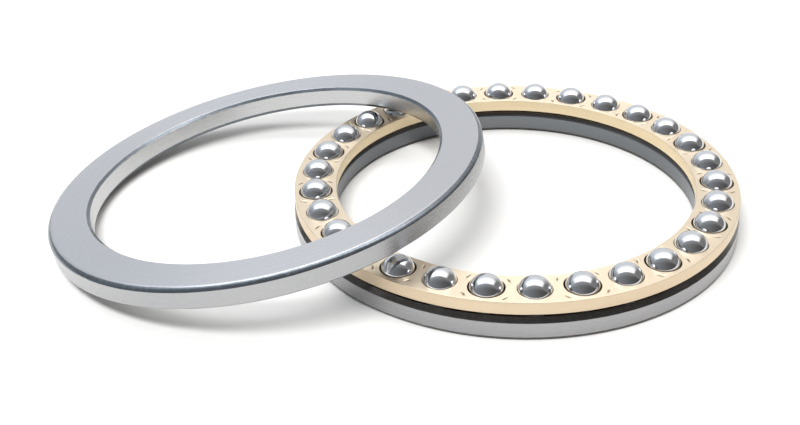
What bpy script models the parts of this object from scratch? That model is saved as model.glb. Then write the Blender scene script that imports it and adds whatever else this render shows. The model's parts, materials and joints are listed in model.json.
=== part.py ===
"""Single-direction thrust ball bearing, 160 mm bore, 200 mm outside diameter, 31 mm high when seated.

The housing washer lies flat with the cage and its balls on top. The shaft washer is lifted off
and leans beside them, its low edge on the floor and its raceway side down over the ball set.
World origin: floor level, at the centre of the whole footprint. +Z is up, along the bearing axis.
"""

import math

import bmesh
import bpy
from mathutils import Matrix, Vector

MM = 0.001

# Standard sizes of the bearing.
HOUSING_OUTER_RADIUS = 100.0 * MM
HOUSING_BORE_RADIUS = 81.5 * MM
SHAFT_OUTER_RADIUS = 99.0 * MM
SHAFT_BORE_RADIUS = 80.0 * MM
SEATED_HEIGHT = 31.0 * MM
PITCH_RADIUS = 90.0 * MM
BALL_RADIUS = 7.144 * MM
BALL_COUNT = 30
BALL_CENTRE_HEIGHT = SEATED_HEIGHT / 2

# Washer section. Both washers share the groove and the height.
WASHER_HEIGHT = 10.2 * MM
GROOVE_RADIUS = 7.72 * MM
RUNNING_GAP = 0.3 * MM
GROOVE_FLOOR = BALL_CENTRE_HEIGHT - BALL_RADIUS - RUNNING_GAP
HOUSING_BACK_EDGE = (1.5 * MM, 1.45 * MM)
SHAFT_BACK_EDGE = (2.8 * MM, 1.75 * MM)
BACK_CHAMFER_BORE = (1.4 * MM, 1.2 * MM)
HOUSING_RACEWAY_CHAMFER = (1.6 * MM, 2.3 * MM)
SHAFT_RACEWAY_CHAMFER = (1.6 * MM, 1.3 * MM)
RACEWAY_CHAMFER_BORE = (1.5 * MM, 2.0 * MM)

# One-piece machined cage.
CAGE_OUTER_RADIUS = 99.5 * MM
CAGE_BORE_RADIUS = 80.7 * MM
CAGE_BOTTOM = 11.7 * MM
CAGE_TOP = 17.3 * MM
CAGE_EDGE = 0.35 * MM
POCKET_RADIUS = 7.62 * MM

# First ball's azimuth. Balls and pockets are numbered clockwise seen from above.
FIRST_BALL_DEG = 107.95
BALL_PITCH_DEG = 360.0 / BALL_COUNT

# Centre of the housing washer's bottom face in the world.
BEARING_CENTRE = Vector((54.7, 5.5, 0.0)) * MM

# Leaning shaft washer: centre of its back face from BEARING_CENTRE, and that face's outward normal.
LEAN_CENTRE = Vector((-112.08, -11.94, 26.45)) * MM
LEAN_TILT_DEG = 9.571
LEAN_AZIMUTH_DEG = 177.24

WASHER_SEGMENTS = 90
GROOVE_STEPS = 8
BACK_EDGE_STEPS = 3
BALL_SEGMENTS = 14
BALL_RINGS = 8
POCKET_SEGMENTS = 20
POCKET_BALL_STEPS = 2


def make_material(name, color, metallic, roughness):
    material = bpy.data.materials.new(name)
    material.use_nodes = True
    shader = material.node_tree.nodes["Principled BSDF"]
    shader.inputs["Base Color"].default_value = (*color, 1.0)
    shader.inputs["Metallic"].default_value = metallic
    shader.inputs["Roughness"].default_value = roughness
    return material


def add_object(name, mesh, material=None):
    """A new object whose origin is on the bearing's axis, at floor level."""
    thing = bpy.data.objects.new(name, mesh)
    bpy.context.scene.collection.objects.link(thing)
    thing.location = BEARING_CENTRE
    if material and not mesh.materials:
        mesh.materials.append(material)
    return thing


def shade(mesh, sharp_deg=30.0):
    mesh.shade_smooth()
    mesh.set_sharp_from_angle(angle=math.radians(sharp_deg))


def revolved_ring(name, profile, segments):
    """A closed ring from (radius, height) points, listed anticlockwise with radius to the right."""
    mesh = bpy.data.meshes.new(name)
    vertices = []
    for i in range(segments):
        angle = 2 * math.pi * i / segments
        for radius, height in profile:
            vertices.append((radius * math.cos(angle), radius * math.sin(angle), height))
    count = len(profile)
    faces = []
    for i in range(segments):
        here, beyond = i * count, (i + 1) % segments * count
        for j in range(count):
            k = (j + 1) % count
            faces.append((here + j, beyond + j, beyond + k, here + k))
    mesh.from_pydata(vertices, [], faces)
    mesh.update()
    return mesh


def rounded_edge(outer, radial, axial):
    """Points of an arc from the back face, where it is tangent, to the outside."""
    sweep = 2 * math.atan2(axial, radial)
    radius = radial / math.sin(sweep)
    angles = [sweep * step / BACK_EDGE_STEPS for step in range(BACK_EDGE_STEPS + 1)]
    return [(outer - radial + radius * math.sin(angle), radius * (1 - math.cos(angle))) for angle in angles]


def washer_profile(bore, outer, back_edge, raceway_chamfer):
    """A washer's section with its back face at height 0 and its raceway facing +Z."""
    groove_centre = GROOVE_FLOOR + GROOVE_RADIUS
    start = math.asin((WASHER_HEIGHT - groove_centre) / GROOVE_RADIUS)
    points = [(bore + BACK_CHAMFER_BORE[0], 0.0)] + rounded_edge(outer, *back_edge)
    points += [
        (outer, WASHER_HEIGHT - raceway_chamfer[1]),
        (outer - raceway_chamfer[0], WASHER_HEIGHT),
    ]
    for step in range(GROOVE_STEPS + 1):
        angle = start + (-math.pi - 2 * start) * step / GROOVE_STEPS
        points.append((PITCH_RADIUS + GROOVE_RADIUS * math.cos(angle),
                       groove_centre + GROOVE_RADIUS * math.sin(angle)))
    points += [
        (bore + RACEWAY_CHAMFER_BORE[0], WASHER_HEIGHT),
        (bore, WASHER_HEIGHT - RACEWAY_CHAMFER_BORE[1]),
        (bore, BACK_CHAMFER_BORE[1]),
    ]
    return points


def ball_place(index):
    """Ball centre in the bearing's own frame, with local +X pointing out along the radius."""
    turn = Matrix.Rotation(math.radians(FIRST_BALL_DEG - index * BALL_PITCH_DEG), 4, "Z")
    return turn @ Matrix.Translation((PITCH_RADIUS, 0.0, BALL_CENTRE_HEIGHT))


def pocket_profile(open_up):
    """Half section of a ball pocket: a round hole on one side, a ball-shaped seat with a lip on the other."""
    over, under = CAGE_TOP - BALL_CENTRE_HEIGHT, BALL_CENTRE_HEIGHT - CAGE_BOTTOM
    open_end, lip_end = (over, under) if open_up else (under, over)
    past = 1.0 * MM
    lip_angle = math.asin(lip_end / POCKET_RADIUS)
    points = [(POCKET_RADIUS, open_end + past)]
    for step in range(POCKET_BALL_STEPS + 1):
        angle = lip_angle * step / POCKET_BALL_STEPS
        points.append((POCKET_RADIUS * math.cos(angle), -POCKET_RADIUS * math.sin(angle)))
    points.append((POCKET_RADIUS * math.cos(lip_angle), -lip_end - past))
    return points if open_up else [(radius, -height) for radius, height in points]


def add_pocket(tool, index):
    """Adds one pocket's cutter to the bmesh. Pockets alternate between opening up and down."""
    rings = []
    place = ball_place(index)
    for radius, height in pocket_profile(index % 2 == 1):
        ring = []
        for i in range(POCKET_SEGMENTS):
            angle = 2 * math.pi * (i + 0.5) / POCKET_SEGMENTS
            ring.append(tool.verts.new(
                place @ Vector((radius * math.cos(angle), radius * math.sin(angle), height))))
        rings.append(ring)
    for low, high in zip(rings, rings[1:]):
        for i in range(POCKET_SEGMENTS):
            j = (i + 1) % POCKET_SEGMENTS
            tool.faces.new((low[i], low[j], high[j], high[i]))
    tool.faces.new(rings[0])
    tool.faces.new(rings[-1])


def make_cage(material):
    profile = [
        (CAGE_BORE_RADIUS + CAGE_EDGE, CAGE_BOTTOM),
        (CAGE_OUTER_RADIUS - CAGE_EDGE, CAGE_BOTTOM),
        (CAGE_OUTER_RADIUS, CAGE_BOTTOM + CAGE_EDGE),
        (CAGE_OUTER_RADIUS, CAGE_TOP - CAGE_EDGE),
        (CAGE_OUTER_RADIUS - CAGE_EDGE, CAGE_TOP),
        (CAGE_BORE_RADIUS + CAGE_EDGE, CAGE_TOP),
        (CAGE_BORE_RADIUS, CAGE_TOP - CAGE_EDGE),
        (CAGE_BORE_RADIUS, CAGE_BOTTOM + CAGE_EDGE),
    ]
    cage = add_object("cage", revolved_ring("cage", profile, WASHER_SEGMENTS), material)

    tool = bmesh.new()
    for index in range(BALL_COUNT):
        add_pocket(tool, index)
    bmesh.ops.recalc_face_normals(tool, faces=tool.faces)
    tool_mesh = bpy.data.meshes.new("pocket_cutters")
    tool.to_mesh(tool_mesh)
    tool.free()
    cutters = add_object("pocket_cutters", tool_mesh)
    cutters.hide_render = True
    cutters.display_type = "WIRE"

    cut = cage.modifiers.new("pockets", "BOOLEAN")
    cut.operation = "DIFFERENCE"
    cut.solver = "EXACT"
    cut.object = cutters
    shade(cage.data)
    return cage


def make_balls(material):
    """Every ball shares one mesh. Its poles lie on local X, the axis it rolls about."""
    ball = bmesh.new()
    bmesh.ops.create_uvsphere(ball, u_segments=BALL_SEGMENTS, v_segments=BALL_RINGS, radius=BALL_RADIUS,
                              matrix=Matrix.Rotation(math.pi / 2, 4, "Y"))
    mesh = bpy.data.meshes.new("ball")
    ball.to_mesh(mesh)
    ball.free()
    mesh.shade_smooth()
    for index in range(BALL_COUNT):
        thing = add_object(f"ball_{index + 1:02d}", mesh, material)
        thing.matrix_world = Matrix.Translation(BEARING_CENTRE) @ ball_place(index)


def lean_matrix():
    """Local +Z becomes the back face's outward normal, with the origin at the centre of that face."""
    return (Matrix.Translation(BEARING_CENTRE + LEAN_CENTRE)
            @ Matrix.Rotation(math.radians(LEAN_AZIMUTH_DEG), 4, "Z")
            @ Matrix.Rotation(math.radians(LEAN_TILT_DEG), 4, "Y"))


def main():
    for thing in list(bpy.data.objects):
        bpy.data.objects.remove(thing, do_unlink=True)

    housing_steel = make_material("housing_steel", (0.42, 0.43, 0.44), 1.0, 0.32)
    shaft_steel = make_material("shaft_steel", (0.56, 0.57, 0.59), 1.0, 0.30)
    cage_brass = make_material("cage_brass", (0.86, 0.70, 0.42), 1.0, 0.34)
    ball_steel = make_material("ball_steel", (0.70, 0.70, 0.71), 1.0, 0.06)

    profile = washer_profile(HOUSING_BORE_RADIUS, HOUSING_OUTER_RADIUS, HOUSING_BACK_EDGE,
                             HOUSING_RACEWAY_CHAMFER)
    housing = add_object("housing_washer", revolved_ring("housing_washer", profile, WASHER_SEGMENTS),
                         housing_steel)
    shade(housing.data)

    make_cage(cage_brass)
    make_balls(ball_steel)

    # The shaft washer is the same section turned over, so that its back face looks along local +Z.
    profile = washer_profile(SHAFT_BORE_RADIUS, SHAFT_OUTER_RADIUS, SHAFT_BACK_EDGE, SHAFT_RACEWAY_CHAMFER)
    turned_over = [(radius, -height) for radius, height in reversed(profile)]
    shaft = add_object("shaft_washer", revolved_ring("shaft_washer", turned_over, WASHER_SEGMENTS),
                       shaft_steel)
    shade(shaft.data)
    shaft.matrix_world = lean_matrix()


main()
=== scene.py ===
"""Looks of a single-direction thrust ball bearing with its shaft washer lifted off and leaning.

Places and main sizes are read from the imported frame. The values below are what its plain solids
leave out: rounded edges, finish zones, the marks beside the ball pockets, the studio and the camera.
"""

import json
import math

import bmesh
import bpy
import numpy as np
from mathutils import Matrix, Vector

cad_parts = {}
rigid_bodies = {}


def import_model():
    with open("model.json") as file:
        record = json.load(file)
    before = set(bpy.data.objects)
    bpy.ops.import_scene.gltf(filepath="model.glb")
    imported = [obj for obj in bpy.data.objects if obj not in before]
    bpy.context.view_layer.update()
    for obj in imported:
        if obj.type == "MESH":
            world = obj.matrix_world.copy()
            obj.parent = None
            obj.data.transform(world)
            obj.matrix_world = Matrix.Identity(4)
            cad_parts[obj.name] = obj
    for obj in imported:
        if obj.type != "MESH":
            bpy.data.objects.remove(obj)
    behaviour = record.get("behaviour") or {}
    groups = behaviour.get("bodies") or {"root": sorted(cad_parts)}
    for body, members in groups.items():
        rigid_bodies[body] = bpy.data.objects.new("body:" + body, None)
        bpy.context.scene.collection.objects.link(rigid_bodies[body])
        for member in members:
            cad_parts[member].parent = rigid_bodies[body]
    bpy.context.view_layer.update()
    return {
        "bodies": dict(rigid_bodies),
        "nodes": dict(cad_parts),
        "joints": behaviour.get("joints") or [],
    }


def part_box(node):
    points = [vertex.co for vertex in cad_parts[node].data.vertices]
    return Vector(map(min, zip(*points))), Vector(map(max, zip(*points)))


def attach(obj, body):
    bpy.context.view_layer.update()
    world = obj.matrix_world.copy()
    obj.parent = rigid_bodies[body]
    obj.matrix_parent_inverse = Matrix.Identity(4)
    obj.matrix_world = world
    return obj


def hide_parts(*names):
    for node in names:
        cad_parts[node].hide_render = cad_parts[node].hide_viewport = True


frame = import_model()

MM = 0.001

# Washer sections.
WASHER_SEGMENTS = 540
SECTION_STEP = 0.8 * MM
ARC_STEPS = 5
GROOVE_STEPS = 20
GROOVE_RADIUS = 7.72 * MM
RUNNING_GAP = 0.3 * MM
EDGE_ROUNDING = 0.22 * MM
BORE_EDGE_ROUNDING = 0.4 * MM
BACK_EDGE_STEPS = 12
# Back edges: radial reach, axial reach, and how many steps of the arc from the face are ground.
HOUSING_BACK_EDGE = (1.5 * MM, 1.45 * MM, 0)
SHAFT_BACK_EDGE = (2.8 * MM, 1.75 * MM, 4)
# Chamfers: radial reach and axial reach.
BACK_CHAMFER_BORE = (1.4 * MM, 1.2 * MM)
HOUSING_RACEWAY_CHAMFER = (1.6 * MM, 2.3 * MM)
SHAFT_RACEWAY_CHAMFER = (1.6 * MM, 1.3 * MM)
RACEWAY_CHAMFER_BORE = (1.5 * MM, 2.0 * MM)
COAT_BLEND_REACH = 1.5 * MM

# Cage.
CAGE_BREAK = 0.3 * MM
CAGE_BREAK_STEPS = 4
OPEN_POCKET_RADIUS = 7.5 * MM
POCKET_RADIUS = 7.48 * MM
LIP_RADIUS = 7.3 * MM
POCKET_BREAK = 0.1 * MM
POCKET_BREAK_MIDDLE = POCKET_BREAK * 0.3
SIDE_STEPS = 16
OPEN_FACE_STEPS = 24
LIP_FACE_STEPS = 6
SEAT_STEPS = 6
WALL_STEPS = 4
CAGE_WELD_DISTANCE = 0.002 * MM
CAGE_SHARP_DEG = 50.0

# Punched marks on the face round an open pocket, and how far they scatter.
MARK_REACH = 10.2 * MM
MARK_REACH_SCATTER_MM = 0.2
MARK_ANGLES_DEG = (55.0, 128.0, -55.0, -128.0)
MARK_ANGLE_SCATTER_DEG = 4.0
MARK_HALF_LENGTH = 1.5 * MM
MARK_HALF_WIDTH = 0.43 * MM
MARK_BEND = 0.35 * MM
MARK_DEPTH = 0.34 * MM
MARK_DEPTH_SCATTER = (0.7, 1.15)
MARK_LIP_SHARE = 0.3
MARK_LIP_OFFSET = 2.2
MARK_SEED = 7

BALL_SUBDIVISIONS = 5

# Surface marks. The scales of noise in the finishes below are in cycles per metre.
# Height counts this much against radius, so that marks run round faces, sides and chamfers alike.
LAY_RISE = 1.37
LAY_DEPTH = 0.001 * MM
MOTTLE_DEPTH = 0.004 * MM
GRAIN_DEPTH = 0.0015 * MM
COAT_EDGE_WANDER_MM = 0.5
COAT_EDGE_SOFTNESS_MM = 0.07
BRASS_LAY_DEPTH = 0.005 * MM
BRASS_SPECKLE_DEPTH = 0.02 * MM
# Depths below the cage's top where its paler painted highlight starts and where it is full.
BRASS_TOP_HIGHLIGHT_DEPTH = (0.25 * MM, 0.02 * MM)
BALL_HAIR_DEPTH = 0.002 * MM
# A point's place along its own normal, from the ring's centre: down to the first value a surface
# doesn't count as facing the ring's axis, and from the second value down it does.
INWARD_LIMITS = (-30.0 * MM, -50.0 * MM)

# Tones, as linear red, green and blue.
STEEL_WARM = (0.66, 0.64, 0.63)
STEEL_ARC = (0.40, 0.41, 0.43)
# Ground steel is painted in three tones by which way it faces: face for flat faces, a darker side that
# is painted shade for the shadowed floor it mirrors, and a lighter ground bore that is a painted
# reflection of the lit floor inside the ring.
HOUSING_TONES = {
    "face": (0.50, 0.50, 0.51),
    "side": (0.335, 0.335, 0.345),
    "ground_bore_painted_light": (0.42, 0.42, 0.42),
    "coat": (0.085, 0.078, 0.072),
    "coat_light": (0.130, 0.120, 0.110),
    "coated_bore": (0.17, 0.18, 0.19),
}
# The same split for the shaft washer: its darker side is painted shade and its lighter ground bore is a
# painted reflection.
SHAFT_TONES = {
    "face": (0.57, 0.57, 0.588),
    "side": (0.375, 0.377, 0.387),
    "ground_bore_painted_light": (0.50, 0.505, 0.51),
    "coat": (0.135, 0.152, 0.172),
    "coat_light": (0.205, 0.225, 0.245),
}
BRASS_TONES = {
    "side": (0.69, 0.56, 0.40),
    "side_light": (0.72, 0.585, 0.425),
    # Painted reflection: walls that face the axis are painted this lighter tone.
    "bore": (0.86, 0.71, 0.475),
    # Painted highlight: the top is painted this paler tone.
    "top_painted_highlight": (0.91, 0.77, 0.585),
    "speckle": (0.60, 0.42, 0.22),
    # Painted shade: pocket walls are darkened towards this tone.
    "pocket": (0.24, 0.17, 0.10),
    # The punched marks are painted darker towards this tone.
    "mark_dark": (0.18, 0.12, 0.08),
}
BALL_TONES = {"smeared": (0.66, 0.67, 0.69), "clean": (0.70, 0.70, 0.71)}
FLOOR_TONES = {"dark": (0.87, 0.855, 0.825), "light": (0.875, 0.86, 0.83)}

# Studio. Lengths are in metres and the light's power is in watts.
FLOOR_HALF_SIZE = 6.0
FLOOR_SEGMENTS = 8
FLOOR_FADE = (0.5, 2.0)
FLOOR_GLOW = 0.6
KEY_OFFSET = (-0.36, -0.76, 1.28)
KEY_SIZE = (0.90, 0.28)
KEY_POWER = 21.0
KEY_COLOUR = (0.97, 0.985, 1.0)

# The sky. Swing is 0 at the front horizon, 90 overhead and 180 at the back, and side is negative on
# the left, both in degrees. Pairs say where a change starts and where it is full.
ROOM_SIDE = (-80.0, 70.0)
ROOM_LEVELS = (0.30, 0.11)
ROOM_RISE_SWING = (42.0, 86.0)
ROOM_RISE = 0.22
SWEEP_SWING = (74.0, 90.0)
SWEEP_LEFT_SIDE = (-86.0, -20.0)
SWEEP_RIGHT_SIDE = (22.0, 52.0)
SWEEP_LEVELS = {"left": 0.32, "middle": 0.95, "right": 0.26}
TINT_SIDE = (-60.0, 60.0)
TINTS = {"left": (0.91, 0.965, 1.03), "right": (1.00, 0.98, 0.965), "seen": (1.0, 1.0, 1.0)}
SOFTBOX = {"left": (-56.0, -42.0), "right": (50.0, 36.0), "front": (78.0, 87.0), "back": (146.0, 108.0)}
SOFTBOX_LEVEL = 1.6
CORE = {"left": (-42.0, -26.0), "right": (34.0, 20.0), "front": (84.0, 91.0), "back": (118.0, 104.0)}
CORE_LEVEL = 4.2
CORE_LEVEL_ON_DULL_SURFACES = 2.6

# Camera, placed from the bearing's axis at floor level.
LENS_MM = 51.895
SENSOR_MM = 36.0
CAMERA_DISTANCE = 534.7 * MM
CAMERA_ELEVATION_DEG = 30.437
CAMERA_YAW_DEG = 5.570
CAMERA_PITCH_DEG = 0.4205
CAMERA_ROLL_DEG = -1.7366
CAMERA_SHIFT = (-0.0012, -0.0188)
CAMERA_CLIP = (0.01, 50.0)


# --- what the frame says -------------------------------------------------------------------------

def joint(name):
    return next(j for j in frame["joints"] if j["name"] == name)


def reach_of(node, place):
    """(inner radius, outer radius, low, high) of a CAD node about the local Z of place."""
    inverse = place.inverted()
    points = np.array([inverse @ v.co for v in frame["nodes"][node].data.vertices])
    radius = np.hypot(points[:, 0], points[:, 1])
    return radius.min(), radius.max(), points[:, 2].min(), points[:, 2].max()


def ball_of(name):
    """(centre, radius) of a CAD ball."""
    centre = Vector(joint(name + "_roll")["pos_m"])
    return centre, max((v.co - centre).length for v in frame["nodes"][name].data.vertices)


def bearing_place():
    """The bearing's axis at floor level."""
    low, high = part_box("housing_washer")
    return Matrix.Translation(((low.x + high.x) / 2, (low.y + high.y) / 2, low.z))


def shaft_washer_place():
    """Local +Z is the outward normal of the shaft washer's back face, with the origin in that face."""
    spin = joint("shaft_washer_spin")
    turn = Vector((0, 0, 1)).rotation_difference(Vector(spin["axis"])).to_matrix().to_4x4()
    return Matrix.Translation(spin["pos_m"]) @ turn


# --- mesh helpers --------------------------------------------------------------------------------

def add_piece(name, mesh, place, node, material):
    """A visible piece that stands for a CAD node and rides on its body, which has the node's name."""
    thing = bpy.data.objects.new(name, mesh)
    bpy.context.scene.collection.objects.link(thing)
    if not mesh.materials:
        mesh.materials.append(material)
    thing.matrix_world = place
    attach(thing, node)
    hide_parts(node)
    return thing


def corner_arc(before, here, after, rounding):
    """Points of a small round that replaces the corner at here."""
    if rounding == 0.0:
        return [here]
    towards_before = (before - here).normalized()
    towards_after = (after - here).normalized()
    half = towards_before.angle(towards_after) / 2
    centre = here + (towards_before + towards_after).normalized() * rounding / math.sin(half)
    trim = rounding / math.tan(half)
    start = here + towards_before * trim - centre
    end = here + towards_after * trim - centre
    first = math.atan2(start.y, start.x)
    sweep = (math.atan2(end.y, end.x) - first + math.pi) % (2 * math.pi) - math.pi
    return [centre + Vector((math.cos(first + sweep * k / ARC_STEPS),
                             math.sin(first + sweep * k / ARC_STEPS))) * rounding
            for k in range(ARC_STEPS + 1)]


def dense_outline(corners):
    """Closed outline from corners of (radius, height, rounding, finish of the side that follows).

    Returns its points, and for each point the distance in mm to the nearest change between ground
    and coated metal, positive on the coat, and a share that is 1 on the side finished as "bore".
    """
    points, finishes = [], []
    for i, (radius, height, rounding, finish) in enumerate(corners):
        before, after = corners[i - 1], corners[(i + 1) % len(corners)]
        arc = corner_arc(Vector(before[:2]), Vector((radius, height)), Vector(after[:2]), rounding)
        for k, point in enumerate(arc):
            points.append(point)
            worn = "ground" in (before[3], finish) and k < len(arc) - 1
            finishes.append("ground" if worn else finish)
    dense, dense_finish = [], []
    for i, point in enumerate(points):
        beyond = points[(i + 1) % len(points)]
        pieces = max(1, math.ceil((beyond - point).length / SECTION_STEP))
        for k in range(pieces):
            dense.append(point.lerp(beyond, k / pieces))
            dense_finish.append(finishes[i])
    dense = np.array(dense)
    steps = np.linalg.norm(np.roll(dense, -1, axis=0) - dense, axis=1)
    travel = np.concatenate([[0.0], np.cumsum(steps)[:-1]])
    coated = np.array([finish != "ground" for finish in dense_finish])
    changes = travel[coated != np.roll(coated, 1)]
    gap = np.abs(travel[:, None] - changes[None, :])
    gap = np.minimum(gap, steps.sum() - gap).min(axis=1)
    edge = np.where(coated, gap, -gap).clip(-COAT_BLEND_REACH, COAT_BLEND_REACH) / MM
    bore = np.array([float(finish == "bore") for finish in dense_finish])
    return dense, edge, bore


def turned_mesh(name, outline, values):
    """A ring turned about Z from an outline, with point attributes that follow the outline."""
    turn = np.arange(WASHER_SEGMENTS) * 2 * math.pi / WASHER_SEGMENTS
    radius, height = outline[:, 0], outline[:, 1]
    vertices = np.stack([np.outer(np.cos(turn), radius), np.outer(np.sin(turn), radius),
                         np.tile(height, (WASHER_SEGMENTS, 1))], axis=-1).reshape(-1, 3)
    count = len(outline)
    row = np.arange(WASHER_SEGMENTS)[:, None] * count
    beyond = (np.arange(1, WASHER_SEGMENTS + 1) % WASHER_SEGMENTS)[:, None] * count
    here, onward = np.arange(count)[None, :], (np.arange(1, count + 1) % count)[None, :]
    faces = np.stack([row + here, beyond + here, beyond + onward, row + onward], axis=-1)
    mesh = bpy.data.meshes.new(name)
    mesh.from_pydata(vertices.tolist(), [], faces.reshape(-1, 4).tolist())
    mesh.update()
    mesh.shade_smooth()
    for key, value in values.items():
        attribute = mesh.attributes.new(key, "FLOAT", "POINT")
        attribute.data.foreach_set("value", np.tile(value, WASHER_SEGMENTS).astype(np.float32))
    return mesh


def keep_flats_flat(thing):
    """Weights normals by face area, so that flat sides shade flat up to their rounded edges."""
    thing.modifiers.new("flat_sides", "WEIGHTED_NORMAL").keep_sharp = True


# --- washers -------------------------------------------------------------------------------------

def rounded_edge(outer, radial, axial, ground_steps):
    """Corners of an arc from the back face, where it is tangent and still ground, to the outside."""
    sweep = 2 * math.atan2(axial, radial)
    radius = radial / math.sin(sweep)
    corners = []
    for step in range(BACK_EDGE_STEPS):
        angle = sweep * step / BACK_EDGE_STEPS
        finish = "ground" if step < ground_steps else "coat"
        corners.append((outer - radial + radius * math.sin(angle), radius * (1 - math.cos(angle)),
                        0.0, finish))
    return corners + [(outer, axial, EDGE_ROUNDING, "ground")]


def washer_corners(bore, outer, height, pitch, groove_centre, back_edge, raceway_chamfer, bore_finish):
    """A washer's section, back face at height 0 and raceway towards +Z, anticlockwise."""
    start = math.asin((height - groove_centre) / GROOVE_RADIUS)
    corners = [(bore + BACK_CHAMFER_BORE[0], 0.0, BORE_EDGE_ROUNDING, "ground")]
    corners += rounded_edge(outer, *back_edge)
    corners += [
        (outer, height - raceway_chamfer[1], EDGE_ROUNDING, "coat"),
        (outer - raceway_chamfer[0], height, EDGE_ROUNDING, "coat"),
    ]
    for step in range(GROOVE_STEPS + 1):
        angle = start - (math.pi + 2 * start) * step / GROOVE_STEPS
        finish = "coat" if step == GROOVE_STEPS else "ground"
        corners.append((pitch + GROOVE_RADIUS * math.cos(angle),
                        groove_centre + GROOVE_RADIUS * math.sin(angle), 0.0, finish))
    corners += [
        (bore + RACEWAY_CHAMFER_BORE[0], height, EDGE_ROUNDING, "coat"),
        (bore, height - RACEWAY_CHAMFER_BORE[1], EDGE_ROUNDING, bore_finish),
        (bore, BACK_CHAMFER_BORE[1], EDGE_ROUNDING, "coat"),
    ]
    return corners


def make_washer(node, place, pitch, groove_floor, edges, turned_over, bore_finish, material):
    """A washer as large as its CAD node, with its raceway up, or down if it is turned over."""
    bore, outer, low, high = reach_of(node, place)
    height = high - low
    groove_centre = groove_floor + GROOVE_RADIUS
    outline, edge, bore_share = dense_outline(
        washer_corners(bore, outer, height, pitch, groove_centre, *edges, bore_finish))
    if turned_over:
        outline, edge, bore_share = outline[::-1] * (1.0, -1.0), edge[::-1], bore_share[::-1]
    mesh = turned_mesh("ground_" + node, outline, {"coat_edge": edge, "bore_side": bore_share})
    keep_flats_flat(add_piece("ground_" + node, mesh, place, node, material))


# --- cage ----------------------------------------------------------------------------------------

def pocket_wall(over, under, opens_up):
    """(radius, height) of a pocket's wall from the bottom rim to the top rim, about the ball centre."""
    open_end, lip_end = (over, under) if opens_up else (under, over)
    lip_angle = math.asin(lip_end / LIP_RADIUS)
    wall = []
    for step in range(SEAT_STEPS):
        share = 1 - step / SEAT_STEPS
        seat = POCKET_RADIUS + (LIP_RADIUS - POCKET_RADIUS) * share
        angle = lip_angle * share
        rim = POCKET_BREAK / 2 if step == 0 else 0.0
        wall.append((seat * math.cos(angle) + rim, -seat * math.sin(angle)))
    for step in range(WALL_STEPS):
        share = step / WALL_STEPS
        wall.append((POCKET_RADIUS + (OPEN_POCKET_RADIUS - POCKET_RADIUS) * share,
                     (open_end - POCKET_BREAK) * share))
    wall.append((OPEN_POCKET_RADIUS, open_end - POCKET_BREAK))
    wall.append((OPEN_POCKET_RADIUS + POCKET_BREAK_MIDDLE, open_end - POCKET_BREAK_MIDDLE))
    wall.append((OPEN_POCKET_RADIUS + POCKET_BREAK, open_end))
    return wall if opens_up else [(radius, -height) for radius, height in reversed(wall)]


def stake_marks(plan, draw):
    """Height change of a face round an open pocket, by crescents with raised lips, and how much darker
    the crescents are painted.
    """
    distance = np.hypot(plan[:, 0], plan[:, 1])
    angle = np.arctan2(plan[:, 1], plan[:, 0])
    change, mark_darkening = np.zeros(len(plan)), np.zeros(len(plan))
    for nominal in MARK_ANGLES_DEG:
        centre = math.radians(nominal + draw.uniform(-MARK_ANGLE_SCATTER_DEG, MARK_ANGLE_SCATTER_DEG))
        reach = MARK_REACH + draw.uniform(-MARK_REACH_SCATTER_MM, MARK_REACH_SCATTER_MM) * MM
        depth = MARK_DEPTH * draw.uniform(*MARK_DEPTH_SCATTER)
        away = (angle - centre + math.pi) % (2 * math.pi) - math.pi
        along = away * reach / MARK_HALF_LENGTH
        bent = reach + MARK_BEND * along ** 2
        across = (distance - bent) / MARK_HALF_WIDTH
        ends = np.exp(-(along ** 4))
        change -= depth * ends * np.exp(-(across ** 2))
        change += MARK_LIP_SHARE * depth * ends * np.exp(-((across + MARK_LIP_OFFSET) ** 2))
        mark_darkening += ends * np.exp(-(across ** 2))
    return change, mark_darkening


def sector_border(pitch, inner, outer, half_turn):
    """Plan points round one pocket's share of the ring, from the pocket's centre, anticlockwise."""
    turns = np.linspace(-half_turn, half_turn, SIDE_STEPS + 1)
    radii = np.linspace(outer, inner, SIDE_STEPS + 1)
    sides = [
        (np.full(SIDE_STEPS, outer), turns[:-1]),
        (radii[:-1], np.full(SIDE_STEPS, half_turn)),
        (np.full(SIDE_STEPS, inner), turns[::-1][:-1]),
        (radii[::-1][:-1], np.full(SIDE_STEPS, -half_turn)),
    ]
    radius = np.concatenate([side[0] for side in sides])
    turn = np.concatenate([side[1] for side in sides])
    return np.stack([radius * np.cos(turn) - pitch, radius * np.sin(turn)], axis=1)


def row_of(plan, level, in_pocket, mark_darkening):
    """One row of a grid: x, y, z, share of pocket wall, share of mark darkening."""
    columns = np.broadcast_arrays(plan[:, 0], plan[:, 1], level, in_pocket, mark_darkening)
    return np.column_stack(columns)


def face_rows(border, rim, height, steps, marks):
    """Rows of points on a flat face from the pocket's rim out to the border."""
    heading = border / np.linalg.norm(border, axis=1)[:, None]
    rows = []
    for step in range(1, steps + 1):
        plan = heading * rim + (border - heading * rim) * step / steps
        change, mark_darkening = marks(plan) if marks and step < steps else (0.0, 0.0)
        rows.append(row_of(plan, height + change, 0.0, mark_darkening))
    return rows


def edge_rows(radius, low, high, outwards):
    """(radius, height) down one cylindrical wall of the cage, with its rounded edge breaks."""
    rows = []
    for step in range(CAGE_BREAK_STEPS + 1):
        angle = math.pi / 2 * step / CAGE_BREAK_STEPS
        rows.append((radius - outwards * CAGE_BREAK * (1 - math.sin(angle)),
                     high - CAGE_BREAK * (1 - math.cos(angle))))
    middle = [(radius, high + (low - high) * step / WALL_STEPS) for step in range(1, WALL_STEPS)]
    return rows + middle + [(r, low + high - h) for r, h in reversed(rows)]


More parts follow.
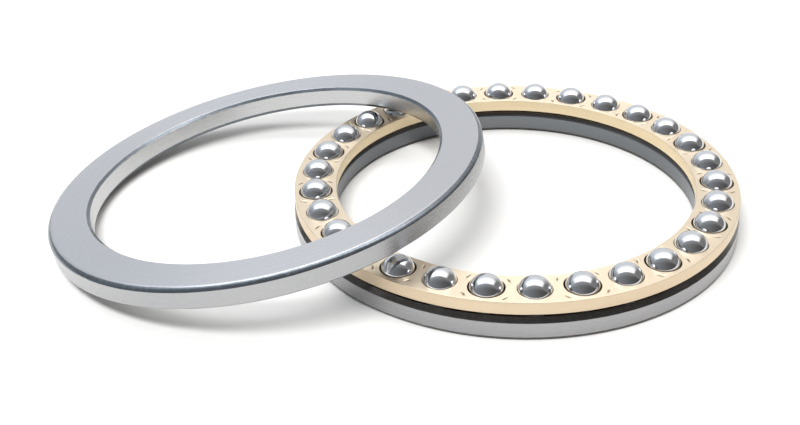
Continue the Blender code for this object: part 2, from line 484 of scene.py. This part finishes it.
def sector_parts(pitch, inner, outer, low, high, ball_height, half_turn, opens_up, draw):
    """Grids of points that close one pocket's share of the ring, about the ball's axis."""
    border = sector_border(pitch, inner + CAGE_BREAK, outer - CAGE_BREAK, half_turn)
    heading = border / np.linalg.norm(border, axis=1)[:, None]
    wall = pocket_wall(high - ball_height, ball_height - low, opens_up)
    pattern = draw.integers(1 << 30)

    def marks(plan):
        change, mark_darkening = stake_marks(plan, np.random.default_rng(pattern))
        return (change if opens_up else -change), mark_darkening

    top_steps, bottom_steps = (OPEN_FACE_STEPS, LIP_FACE_STEPS)[::1 if opens_up else -1]
    bottom = face_rows(border, wall[0][0], low, bottom_steps, None if opens_up else marks)
    top = face_rows(border, wall[-1][0], high, top_steps, marks if opens_up else None)
    pocket = [row_of(heading * radius, ball_height + height, 1.0, 0.0) for radius, height in wall]
    for row, level in ((pocket[0], low), (pocket[-1], high)):
        row[:, 2], row[:, 3] = level, 0.0
    loop = np.array(bottom[::-1] + pocket + top)
    loop = np.concatenate([loop, loop[:, :1]], axis=1)

    turns = np.linspace(-half_turn, half_turn, SIDE_STEPS + 1)
    walls = []
    for radius, outwards in ((outer, 1.0), (inner, -1.0)):
        plans = [(np.column_stack([r * np.cos(turns) - pitch, r * np.sin(turns)]), h)
                 for r, h in edge_rows(radius, low, high, outwards)]
        walls.append(np.array([row_of(plan, h, 0.0, 0.0) for plan, h in plans]))
    return [loop, walls[0], walls[1][:, ::-1]]


def make_cage(place, azimuths, pitch, ball_height, material):
    """One closed ring, made of as many sectors as there are balls. Every other pocket opens upwards."""
    inner, outer, low, high = reach_of("cage", place)
    half_turn = math.pi / len(azimuths)
    draw = np.random.default_rng(MARK_SEED)
    vertices, faces, shares = [], [], []
    for index, azimuth in enumerate(azimuths):
        parts = sector_parts(pitch, inner, outer, low, high, ball_height, half_turn,
                             index % 2 == 1, draw)
        for grid in parts:
            rows, columns = grid.shape[:2]
            x, y = grid[..., 0] + pitch, grid[..., 1]
            turned = np.stack([x * math.cos(azimuth) - y * math.sin(azimuth),
                               x * math.sin(azimuth) + y * math.cos(azimuth), grid[..., 2]], axis=-1)
            first = len(vertices)
            vertices.extend(turned.reshape(-1, 3).tolist())
            shares.append(grid[..., 3:5].reshape(-1, 2))
            for row in range(rows - 1):
                for column in range(columns - 1):
                    corner = first + row * columns + column
                    faces.append((corner, corner + 1, corner + columns + 1, corner + columns))
    mesh = bpy.data.meshes.new("cage_ring")
    mesh.from_pydata(vertices, [], faces)
    # pocket_wall later darkens the pocket walls as painted shade.
    for key, value in zip(("pocket_wall", "mark_darkening"), np.concatenate(shares).T):
        attribute = mesh.attributes.new(key, "FLOAT", "POINT")
        attribute.data.foreach_set("value", np.ascontiguousarray(value, dtype=np.float32))
    work = bmesh.new()
    work.from_mesh(mesh)
    bmesh.ops.remove_doubles(work, verts=work.verts, dist=CAGE_WELD_DISTANCE)
    bmesh.ops.recalc_face_normals(work, faces=work.faces)
    work.to_mesh(mesh)
    work.free()
    mesh.shade_smooth()
    mesh.set_sharp_from_angle(angle=math.radians(CAGE_SHARP_DEG))
    keep_flats_flat(add_piece("cage_ring", mesh, place, "cage", material))


# --- balls ---------------------------------------------------------------------------------------

def make_balls(names, material):
    """Finely divided balls with exact normals, all sharing one mesh."""
    radius = ball_of(names[0])[1]
    work = bmesh.new()
    bmesh.ops.create_icosphere(work, subdivisions=BALL_SUBDIVISIONS, radius=radius)
    mesh = bpy.data.meshes.new("polished_ball")
    work.to_mesh(mesh)
    work.free()
    mesh.shade_smooth()
    mesh.normals_split_custom_set_from_vertices([v.co.normalized() for v in mesh.vertices])
    for name in names:
        roll = joint(name + "_roll")
        turn = Vector(roll["axis"]).to_track_quat("X", "Z").to_matrix().to_4x4()
        place = Matrix.Translation(roll["pos_m"]) @ turn
        add_piece("polished_" + name, mesh, place, name, material)


# --- materials -----------------------------------------------------------------------------------

class Nodes:
    """A node tree, with short forms for the nodes that the finishes and the sky share."""

    def __init__(self, tree):
        self.tree = tree

    def feed(self, socket, value):
        if isinstance(value, bpy.types.NodeSocket):
            self.tree.links.new(value, socket)
        else:
            socket.default_value = value

    def add(self, kind, inputs=None, **settings):
        node = self.tree.nodes.new("ShaderNode" + kind)
        for key, value in settings.items():
            setattr(node, key, value)
        for key, value in (inputs or {}).items():
            self.feed(node.inputs[key], value)
        return node

    def math(self, operation, *values):
        node = self.add("Math", operation=operation)
        for socket, value in zip(node.inputs, values):
            self.feed(socket, value)
        return node.outputs[0]

    def mix(self, share, first, second):
        """A colour between two colours."""
        node = self.add("Mix", data_type="RGBA")
        self.feed(node.inputs[0], share)
        self.feed(node.inputs[6], first)
        self.feed(node.inputs[7], second)
        return node.outputs[2]

    def blend(self, share, first, second):
        """A number between two numbers."""
        node = self.add("Mix", data_type="FLOAT")
        for index, value in ((0, share), (2, first), (3, second)):
            self.feed(node.inputs[index], value)
        return node.outputs[0]

    def spread(self, value, low, high):
        """A smooth step that is 0 at low and 1 at high, whichever of the two is larger."""
        node = self.add("MapRange", {"Value": value, "From Min": low, "From Max": high},
                        interpolation_type="SMOOTHSTEP")
        return node.outputs["Result"]

    def noise(self, vector, scale, detail=2.0, roughness=0.5):
        node = self.add("TexNoise", {"Vector": vector, "Scale": scale, "Detail": detail,
                                     "Roughness": roughness})
        return node.outputs["Fac"]

    def attribute(self, name):
        return self.add("Attribute", attribute_name=name).outputs["Fac"]

    def place(self):
        return self.add("TexCoord").outputs["Object"]

    def inward(self):
        """1 on walls that face the ring's axis, 0 on flat faces and outer walls."""
        normal = self.add("TexCoord").outputs["Normal"]
        towards = self.add("VectorMath", {0: self.place(), 1: normal}, operation="DOT_PRODUCT")
        return self.spread(towards.outputs["Value"], *INWARD_LIMITS)

    def lay(self, along, across):
        """Coordinates for marks that run round local Z: long round the ring, fine across it."""
        split = self.add("SeparateXYZ", {"Vector": self.place()})
        x, y, z = split.outputs
        radius = self.math("SQRT", self.math("ADD", self.math("MULTIPLY", x, x),
                                             self.math("MULTIPLY", y, y)))
        rise = self.math("MULTIPLY", z, LAY_RISE)
        fine = self.math("MULTIPLY", self.math("ADD", radius, rise), across)
        parts = {"X": self.math("MULTIPLY", self.math("DIVIDE", x, radius), along),
                 "Y": self.math("MULTIPLY", self.math("DIVIDE", y, radius), along),
                 "Z": fine}
        return self.add("CombineXYZ", parts).outputs[0]

    def bump(self, height, depth, strength=1.0, normal=None):
        node = self.add("Bump", {"Height": height, "Distance": depth, "Strength": strength})
        if normal is not None:
            self.feed(node.inputs["Normal"], normal)
        return node.outputs["Normal"]


class Shader(Nodes):
    """The node tree of one new material."""

    def __init__(self, name):
        self.material = bpy.data.materials.new(name)
        self.material.use_nodes = True
        super().__init__(self.material.node_tree)
        self.surface = self.tree.nodes["Principled BSDF"]

    def finish(self, **inputs):
        """Feeds the surface's inputs and returns the material."""
        names = {"colour": "Base Color", "metallic": "Metallic", "roughness": "Roughness",
                 "normal": "Normal", "anisotropic": "Anisotropic", "turn": "Anisotropic Rotation",
                 "tangent": "Tangent", "specular": "Specular IOR Level", "glow": "Emission Strength"}
        for key, value in inputs.items():
            self.feed(self.surface.inputs[names[key]], value)
        return self.material


def colours(tones):
    """The same tones as opaque colours."""
    return {key: (*value, 1.0) for key, value in tones.items()}


def washer_finish(name, tones):
    """Ground steel with a fine circular lay, painted lighter or darker by which way it faces, and a dark
    heat-treated coat where nothing was ground.
    """
    s = Shader(name)
    tone = colours(tones)
    lines = s.noise(s.lay(1.2, 4200.0), 1.0, 1.0)
    arcs = s.noise(s.lay(0.9, 900.0), 1.0, 1.0)
    cloud = s.noise(s.place(), 11.0, 3.0)
    grain = s.noise(s.place(), 2600.0, 2.0)
    mottle = s.noise(s.lay(60.0, 1100.0), 1.0, 4.0, 0.6)
    patches = s.noise(s.lay(7.0, 150.0), 1.0, 2.0)

    wander = s.noise(s.lay(26.0, 500.0), 1.0, 4.0, 0.6)
    edge = s.math("ADD", s.attribute("coat_edge"),
                  s.math("MULTIPLY", s.math("SUBTRACT", wander, 0.5), COAT_EDGE_WANDER_MM))
    coated = s.spread(edge, -COAT_EDGE_SOFTNESS_MM, COAT_EDGE_SOFTNESS_MM)
    bore_side = s.attribute("bore_side")

    facing = s.add("SeparateXYZ", {"Vector": s.add("TexCoord").outputs["Normal"]}).outputs["Z"]
    # Painted light: outer walls take the darker side tone as painted shade, walls facing the axis take
    # the lighter bore tone as a painted reflection, and flat faces take the face tone.
    wall = s.mix(s.inward(), tone["side"], tone["ground_bore_painted_light"])
    ground = s.mix(s.spread(s.math("ABSOLUTE", facing), 0.2, 0.9), wall, tone["face"])
    warm_share = s.math("MULTIPLY", s.spread(cloud, 0.3, 0.7), 0.12)
    ground = s.mix(warm_share, ground, (*STEEL_WARM, 1.0))
    arc_share = s.math("MULTIPLY", s.spread(arcs, 0.35, 0.75), 0.03)
    ground = s.mix(arc_share, ground, (*STEEL_ARC, 1.0))
    dark = s.mix(s.spread(mottle, 0.35, 0.8), tone["coat"], tone["coat_light"])
    dark = s.mix(bore_side, dark, tone.get("coated_bore", tone["coat"]))
    rough_ground = s.blend(s.spread(lines, 0.3, 0.7), 0.26, 0.28)
    rough_coat = s.blend(s.spread(patches, 0.35, 0.65), 0.16, 0.26)
    rough_coat = s.blend(bore_side, rough_coat, 0.30)

    relief = s.bump(lines, LAY_DEPTH, s.blend(coated, 0.05, 0.2))
    relief = s.bump(arcs, LAY_DEPTH, s.blend(coated, 0.05, 0.0), relief)
    relief = s.bump(mottle, MOTTLE_DEPTH, s.blend(coated, 0.0, 0.25), relief)
    relief = s.bump(grain, GRAIN_DEPTH, 0.3, relief)
    tangent = s.add("Tangent", direction_type="RADIAL", axis="Z").outputs[0]
    return s.finish(colour=s.mix(coated, ground, dark), metallic=s.blend(coated, 1.0, 0.85),
                    roughness=s.blend(coated, rough_ground, rough_coat), normal=relief,
                    anisotropic=s.blend(coated, 0.8, 0.3), turn=0.25, tangent=tangent)


def brass_finish(name, top_height):
    """Machined brass with turning marks and speckle. Its top is painted paler as a painted highlight,
    walls facing the axis are painted lighter as a painted reflection, its pocket walls are painted
    darker as painted shade, and its punched marks are darker.
    """
    s = Shader(name)
    tone = colours(BRASS_TONES)
    lines = s.noise(s.lay(1.5, 3600.0), 1.0, 1.0)
    speckle = s.noise(s.place(), 900.0, 3.0, 0.65)
    cloud = s.noise(s.place(), 22.0, 3.0)
    height = s.add("SeparateXYZ", {"Vector": s.place()}).outputs["Z"]
    # Painted highlight: the top face is painted paler.
    top_painted_highlight = s.spread(height, *(top_height - depth for depth in BRASS_TOP_HIGHLIGHT_DEPTH))
    wall = s.attribute("pocket_wall")
    mark_darkening = s.attribute("mark_darkening")
    colour = s.mix(s.spread(cloud, 0.3, 0.7), tone["side"], tone["side_light"])
    # Painted reflection: walls that face the axis are painted lighter.
    colour = s.mix(s.inward(), colour, tone["bore"])
    colour = s.mix(top_painted_highlight, colour, tone["top_painted_highlight"])
    speckle_share = s.math("MULTIPLY", s.spread(speckle, 0.62, 0.78), 0.3)
    colour = s.mix(speckle_share, colour, tone["speckle"])
    # Painted shade: the pocket walls are darkened.
    colour = s.mix(s.math("MULTIPLY", wall, 0.5), colour, tone["pocket"])
    # The punched marks are painted darker.
    mark_dark_share = s.math("MULTIPLY", s.spread(mark_darkening, 0.1, 0.9), 0.8)
    colour = s.mix(mark_dark_share, colour, tone["mark_dark"])
    roughness = s.blend(s.spread(lines, 0.3, 0.7), 0.34, 0.46)
    relief = s.bump(lines, BRASS_LAY_DEPTH, 0.5)
    relief = s.bump(speckle, BRASS_SPECKLE_DEPTH, 0.3, relief)
    tangent = s.add("Tangent", direction_type="RADIAL", axis="Z").outputs[0]
    return s.finish(colour=colour, metallic=1.0, roughness=roughness, normal=relief,
                    anisotropic=0.7, turn=0.25, tangent=tangent)


def ball_finish(name):
    """Lapped steel with faint smears and hairline scratches."""
    s = Shader(name)
    tone = colours(BALL_TONES)
    smear = s.noise(s.place(), 210.0, 3.0)
    hair = s.noise(s.place(), 2400.0, 3.0, 0.7)
    colour = s.mix(s.spread(smear, 0.35, 0.7), tone["smeared"], tone["clean"])
    roughness = s.blend(s.spread(smear, 0.4, 0.75), 0.055, 0.10)
    relief = s.bump(hair, BALL_HAIR_DEPTH, 0.25)
    return s.finish(colour=colour, metallic=1.0, roughness=roughness, normal=relief)


def floor_finish(name):
    """Warm pale paper that the camera sees fade to white in the distance."""
    s = Shader(name)
    tone = colours(FLOOR_TONES)
    cloud = s.noise(s.place(), 1.4, 2.0)
    colour = s.mix(s.spread(cloud, 0.3, 0.7), tone["dark"], tone["light"])
    away = s.add("VectorMath", {0: s.place()}, operation="LENGTH").outputs["Value"]
    seen = s.add("LightPath").outputs["Is Camera Ray"]
    glow = s.math("MULTIPLY", s.math("MULTIPLY", s.spread(away, *FLOOR_FADE), seen), FLOOR_GLOW)
    return s.finish(colour=colour, roughness=0.9, specular=0.1, glow=glow)


# --- studio and camera ---------------------------------------------------------------------------

def make_floor(middle):
    """A plain sheet under the object, which isn't part of it."""
    work = bmesh.new()
    bmesh.ops.create_grid(work, x_segments=FLOOR_SEGMENTS, y_segments=FLOOR_SEGMENTS,
                          size=FLOOR_HALF_SIZE)
    mesh = bpy.data.meshes.new("studio_floor")
    work.to_mesh(mesh)
    work.free()
    floor = bpy.data.objects.new("studio_floor", mesh)
    bpy.context.scene.collection.objects.link(floor)
    floor.location = (middle.x, middle.y, 0.0)
    mesh.materials.append(floor_finish("pale_floor"))


def sky_patch(s, side, swing, left, right, front, back):
    """1 inside a soft-edged patch of the sky, 0 outside."""
    across = s.math("MULTIPLY", s.spread(side, *left), s.spread(side, *right))
    along = s.math("MULTIPLY", s.spread(swing, *front), s.spread(swing, *back))
    return s.math("MULTIPLY", across, along)


def make_world():
    """A pale sweep behind, a wide softbox overhead and a grey room in front, all seen as plain white."""
    world = bpy.data.worlds.new("studio")
    bpy.context.scene.world = world
    world.use_nodes = True
    s = Nodes(world.node_tree)
    background = s.tree.nodes["Background"]
    x, y, z = s.add("SeparateXYZ", {"Vector": s.add("TexCoord").outputs["Generated"]}).outputs
    swing = s.math("DEGREES", s.math("ARCTAN2", z, s.math("MULTIPLY", y, -1.0)))
    side = s.math("DEGREES", s.math("ARCSINE", x))

    room = s.blend(s.spread(side, *ROOM_SIDE), *ROOM_LEVELS)
    room = s.math("ADD", room, s.math("MULTIPLY", s.spread(swing, *ROOM_RISE_SWING), ROOM_RISE))
    sweep = s.blend(s.spread(side, *SWEEP_LEFT_SIDE), SWEEP_LEVELS["left"], SWEEP_LEVELS["middle"])
    sweep = s.blend(s.spread(side, *SWEEP_RIGHT_SIDE), sweep, SWEEP_LEVELS["right"])
    level = s.blend(s.spread(swing, *SWEEP_SWING), room, sweep)
    level = s.blend(sky_patch(s, side, swing, **SOFTBOX), level, SOFTBOX_LEVEL)
    on_dull = s.add("LightPath").outputs["Is Diffuse Ray"]
    bright = s.blend(on_dull, CORE_LEVEL, CORE_LEVEL_ON_DULL_SURFACES)
    level = s.blend(sky_patch(s, side, swing, **CORE), level, bright)

    tone = colours(TINTS)
    tint = s.mix(s.spread(side, *TINT_SIDE), tone["left"], tone["right"])
    studio = s.add("VectorMath", {0: tint, "Scale": level}, operation="SCALE").outputs[0]
    seen = s.add("LightPath").outputs["Is Camera Ray"]
    s.feed(background.inputs["Color"], s.mix(seen, studio, tone["seen"]))
    background.inputs["Strength"].default_value = 1.0


def make_key_light(middle):
    """A rectangular light from the left front, facing the object. Polished surfaces don't mirror it."""
    light = bpy.data.lights.new("key_light", "AREA")
    light.shape = "RECTANGLE"
    light.size, light.size_y = KEY_SIZE
    light.energy = KEY_POWER
    light.color = KEY_COLOUR
    box = bpy.data.objects.new("key_light", light)
    bpy.context.scene.collection.objects.link(box)
    box.location = middle + Vector(KEY_OFFSET)
    box.rotation_euler = (-Vector(KEY_OFFSET)).to_track_quat("-Z", "Y").to_euler()
    box.visible_glossy = False


def make_camera(middle):
    """A camera that faces the bearing's axis, then turns by its yaw, pitch and roll in that order."""
    elevation = math.radians(CAMERA_ELEVATION_DEG)
    eye = Vector((0.0, -math.cos(elevation), math.sin(elevation))) * CAMERA_DISTANCE
    axes = {"ahead": -eye.normalized(), "right": Vector((1.0, 0.0, 0.0))}
    axes["up"] = axes["right"].cross(axes["ahead"])
    for about, angle in (("up", CAMERA_YAW_DEG), ("right", CAMERA_PITCH_DEG),
                         ("ahead", CAMERA_ROLL_DEG)):
        turn = Matrix.Rotation(math.radians(angle), 3, axes[about])
        axes = {name: turn @ axis for name, axis in axes.items()}
    camera = bpy.data.cameras.new("camera")
    camera.lens = LENS_MM
    camera.sensor_width = SENSOR_MM
    camera.shift_x, camera.shift_y = CAMERA_SHIFT
    camera.clip_start, camera.clip_end = CAMERA_CLIP
    viewer = bpy.data.objects.new("camera", camera)
    bpy.context.scene.collection.objects.link(viewer)
    look = Matrix((axes["right"], axes["up"], -axes["ahead"])).transposed().to_4x4()
    viewer.matrix_world = Matrix.Translation(middle + eye) @ look
    bpy.context.scene.camera = viewer


# --- build ---------------------------------------------------------------------------------------

def main():
    housing_place = bearing_place()
    shaft_place = shaft_washer_place()
    middle = housing_place.translation
    names = sorted(name for name in frame["bodies"] if name.startswith("ball_"))
    centres = [ball_of(name)[0] - middle for name in names]
    pitch = centres[0].xy.length
    ball_height = centres[0].z
    azimuths = [math.atan2(centre.y, centre.x) for centre in centres]
    groove_floor = ball_height - ball_of(names[0])[1] - RUNNING_GAP

    housing_steel = washer_finish("housing_steel", HOUSING_TONES)
    shaft_steel = washer_finish("shaft_steel", SHAFT_TONES)
    make_washer("housing_washer", housing_place, pitch, groove_floor,
                (HOUSING_BACK_EDGE, HOUSING_RACEWAY_CHAMFER), turned_over=False,
                bore_finish="bore", material=housing_steel)
    make_washer("shaft_washer", shaft_place, pitch, groove_floor,
                (SHAFT_BACK_EDGE, SHAFT_RACEWAY_CHAMFER), turned_over=True,
                bore_finish="ground", material=shaft_steel)
    cage_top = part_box("cage")[1].z - housing_place.translation.z
    brass = brass_finish("cage_brass_machined", cage_top)
    make_cage(housing_place, azimuths, pitch, ball_height, brass)
    make_balls(names, ball_finish("ball_steel_lapped"))

    make_floor(middle)
    make_world()
    make_key_light(middle)
    make_camera(middle)
    bpy.context.scene.view_settings.view_transform = "Standard"


main()
